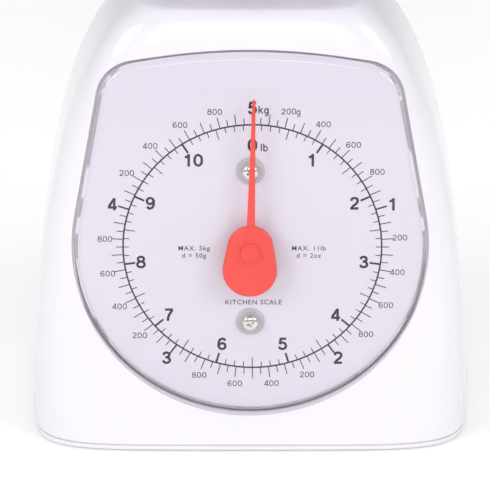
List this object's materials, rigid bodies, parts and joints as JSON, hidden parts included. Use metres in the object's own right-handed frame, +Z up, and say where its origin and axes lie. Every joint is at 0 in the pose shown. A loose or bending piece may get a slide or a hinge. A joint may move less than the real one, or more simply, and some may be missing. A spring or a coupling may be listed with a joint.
{
  "type": "kitchen scale",
  "caption": "Mechanical kitchen scale with a bell-shaped body, leaning dial under a clear lens, red pointer, rack-and-pinion movement, parallel levers and a lift-off oval bowl.",
  "frame": {"origin": "on the surface the scale stands on, below the middle of the platform and bowl", "axes": "+X right seen from the front, +Y to the back, +Z up; the dial faces -Y"},
  "size_m": [0.206, 0.16, 0.247],
  "materials": {
    "white_housing": "glossy moulded white plastic",
    "black_rubber": "matt soft rubber",
    "zinc_steel": "zinc-plated steel",
    "dial_print": "printed satin plate",
    "clear_lens": "clear moulded plastic, glossy",
    "clear_washer": "translucent plastic",
    "nickel_screw": "bright nickel plate",
    "frame_steel": "galvanised sheet steel",
    "bush_brass": "turned brass",
    "pin_steel": "ground steel",
    "spring_steel": "hardened spring wire",
    "red_pointer": "glossy moulded red plastic",
    "bowl_plastic": "glossy moulded white plastic",
    "white_wheel": "moulded white plastic"
  },
  "bodies": {
    "housing": {"housing_shell": "white_housing", "base_plate": "white_housing", "rubber_feet": "black_rubber", "base_screws": "zinc_steel", "frame_screws": "zinc_steel", "travel_stop": "black_rubber", "dial_plate": "dial_print", "dial_lens": "clear_lens", "dial_washers": "clear_washer", "dial_screws": "nickel_screw", "mechanism_frame": "frame_steel", "movement_bridge": "frame_steel", "bridge_screws": "zinc_steel", "front_bush": "bush_brass", "rear_bush": "bush_brass", "upper_frame_pin": "pin_steel", "lower_frame_pin": "pin_steel", "frame_pin_clips": "pin_steel", "main_spring_left": "spring_steel", "main_spring_right": "spring_steel"},
    "platform": {"platform": "white_housing", "platform_screws": "zinc_steel", "load_carrier": "frame_steel", "upper_carrier_pin": "pin_steel", "lower_carrier_pin": "pin_steel", "carrier_pin_clips": "pin_steel", "rack": "bush_brass", "rack_pin": "pin_steel", "rack_spring": "spring_steel"},
    "pointer": {"pointer": "red_pointer", "pointer_shaft": "pin_steel", "pinion": "bush_brass"},
    "upper_lever": {"upper_lever": "frame_steel"},
    "lower_lever": {"lower_lever": "frame_steel"},
    "zero_wheel": {"zero_wheel": "white_wheel"},
    "spring_hanger": {"spring_hanger": "pin_steel"},
    "bowl": {"weighing_bowl": "bowl_plastic"}
  },
  "joints": [
    {"name": "platform_slide", "type": "slide", "parent": "housing", "child": "platform", "axis": [0, 0, -1], "range_m": [-0.001, 0.0135], "stiffness_N_per_m": 3887.1, "springref_m": -0.00061, "deforming": ["main_spring_left", "main_spring_right"]},
    {"name": "pointer_turn", "type": "hinge", "parent": "housing", "child": "pointer", "pos_m": [0, -0.029, 0.084], "axis": [0, 0.9962, -0.0872], "range_deg": [-30, 390]},
    {"name": "upper_lever_pivot", "type": "hinge", "parent": "housing", "child": "upper_lever", "pos_m": [0, 0.037, 0.134], "axis": [1, 0, 0], "range_deg": [-3, 24]},
    {"name": "lower_lever_pivot", "type": "hinge", "parent": "housing", "child": "lower_lever", "pos_m": [0, 0.037, 0.04], "axis": [1, 0, 0], "range_deg": [-3, 24]},
    {"name": "bowl_lift", "type": "slide", "parent": "platform", "child": "bowl", "axis": [0, 0, 1], "range_m": [0, 0.06]},
    {"name": "zero_wheel_turn", "type": "hinge", "parent": "housing", "child": "zero_wheel", "pos_m": [0, 0.029, 0.1495], "axis": [0, 0, 1], "range_deg": [-361, 361]},
    {"name": "hanger_rise", "type": "slide", "parent": "housing", "child": "spring_hanger", "axis": [0, 0, 1], "range_m": [-0.0008, 0.0008]}
  ],
  "couplings": [
    {"joint": "pointer_turn", "follows": "platform_slide", "rad_per_m": 498.1},
    {"joint": "upper_lever_pivot", "follows": "platform_slide", "rad_per_m": 27.411},
    {"joint": "lower_lever_pivot", "follows": "platform_slide", "rad_per_m": 27.411},
    {"joint": "zero_wheel_turn", "follows": "hanger_rise", "rad_per_m": 7854}
  ]
}
